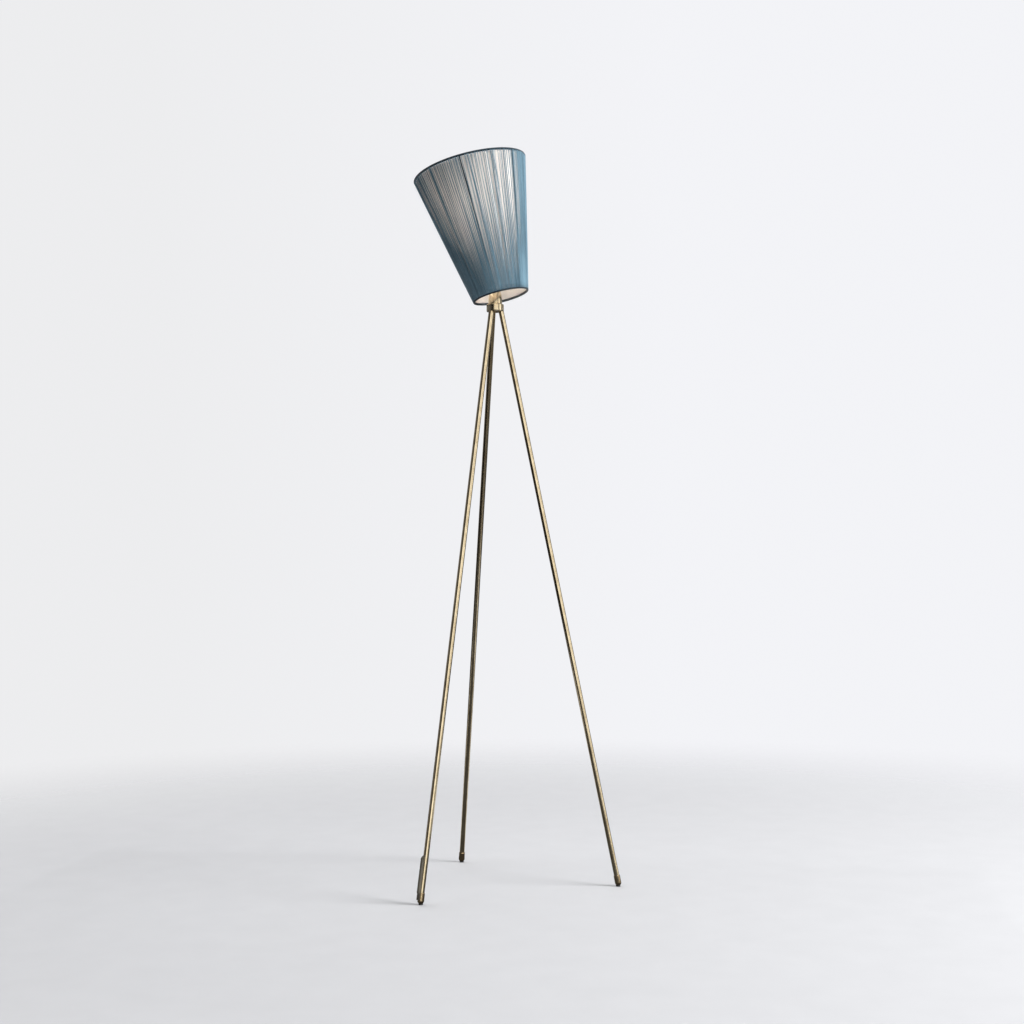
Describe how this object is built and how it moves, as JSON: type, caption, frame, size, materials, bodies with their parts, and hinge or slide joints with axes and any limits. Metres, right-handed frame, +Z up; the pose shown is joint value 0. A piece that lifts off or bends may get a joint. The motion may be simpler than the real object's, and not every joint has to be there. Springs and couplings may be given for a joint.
{
  "type": "floor lamp",
  "caption": "Slim tripod floor lamp with brass legs, a small round hub, and a conical yarn-wrapped shade that tilts on a knuckle over the hub.",
  "frame": {"origin": "on the floor, straight below the centre of the hub", "axes": "+Z up along the neck; +X towards the foot of the leg opposite the shade's lean; the shade leans towards -X"},
  "size_m": [0.3812, 0.3984, 1.3801],
  "materials": {
    "satin_brass": "satin, slightly dulled",
    "foot_cap": "dark satin",
    "rubber": "matte",
    "threaded_brass": "plain machined",
    "sleeve": "smoky, satin",
    "lead": "satin",
    "conductor": "satin",
    "lampholder": "satin",
    "ceramic": "glazed",
    "nickel": "satin nickel",
    "spider": "satin white",
    "shade_wire": "satin",
    "piping": "woven",
    "liner": "translucent white",
    "threads": "wound yarn",
    "bulb_glass": "frosted",
    "insulator": "glossy",
    "stem_glass": "clear",
    "filament": "satin"
  },
  "bodies": {
    "tripod": {"leg_right": "satin_brass", "leg_rear": "satin_brass", "leg_front": "satin_brass", "leg_nipple_right": "threaded_brass", "leg_nipple_rear": "threaded_brass", "leg_nipple_front": "threaded_brass", "foot_cap_right": "foot_cap", "foot_cap_rear": "foot_cap", "foot_cap_front": "foot_cap", "foot_pad_right": "rubber", "foot_pad_rear": "rubber", "foot_pad_front": "rubber", "cord_sleeve": "sleeve", "leg_lead": "lead", "leg_hub": "satin_brass", "hub_locknut": "threaded_brass", "neck_nipple": "threaded_brass", "neck_bell": "satin_brass", "swivel_washer": "rubber", "swivel_nut": "threaded_brass", "neck_wires": "conductor"},
    "swivel": {"knuckle_fork": "satin_brass", "pivot_screw": "threaded_brass", "pivot_nut": "satin_brass", "friction_washers": "rubber"},
    "shade_head": {"knuckle_tongue": "satin_brass", "holder_nipple": "threaded_brass", "holder_nut": "threaded_brass", "holder_cap": "lampholder", "holder_body": "lampholder", "holder_core": "ceramic", "screw_shell": "nickel", "centre_contact": "threaded_brass", "terminal_screws": "nickel", "holder_wires": "conductor", "shade_ring_lower": "lampholder", "shade_ring_upper": "lampholder", "shade_spider": "spider", "shade_struts": "shade_wire", "shade_top_ring": "shade_wire", "shade_bottom_ring": "shade_wire", "top_piping": "piping", "bottom_piping": "piping", "shade_liner": "liner", "shade_threads": "threads", "bulb_glass": "bulb_glass", "bulb_cap": "nickel", "bulb_insulator": "insulator", "bulb_tip": "nickel", "bulb_stem": "stem_glass", "bulb_filaments": "filament"}
  },
  "joints": [
    {"name": "shade_swivel", "type": "hinge", "parent": "tripod", "child": "swivel", "pos_m": [0, 0, 1.1261], "axis": [0, 0, 1], "range_deg": [-170, 170]},
    {"name": "shade_tilt", "type": "hinge", "parent": "swivel", "child": "shade_head", "pos_m": [0, 0, 1.155], "axis": [0, 1, 0], "range_deg": [-11.7, 38.3]}
  ]
}
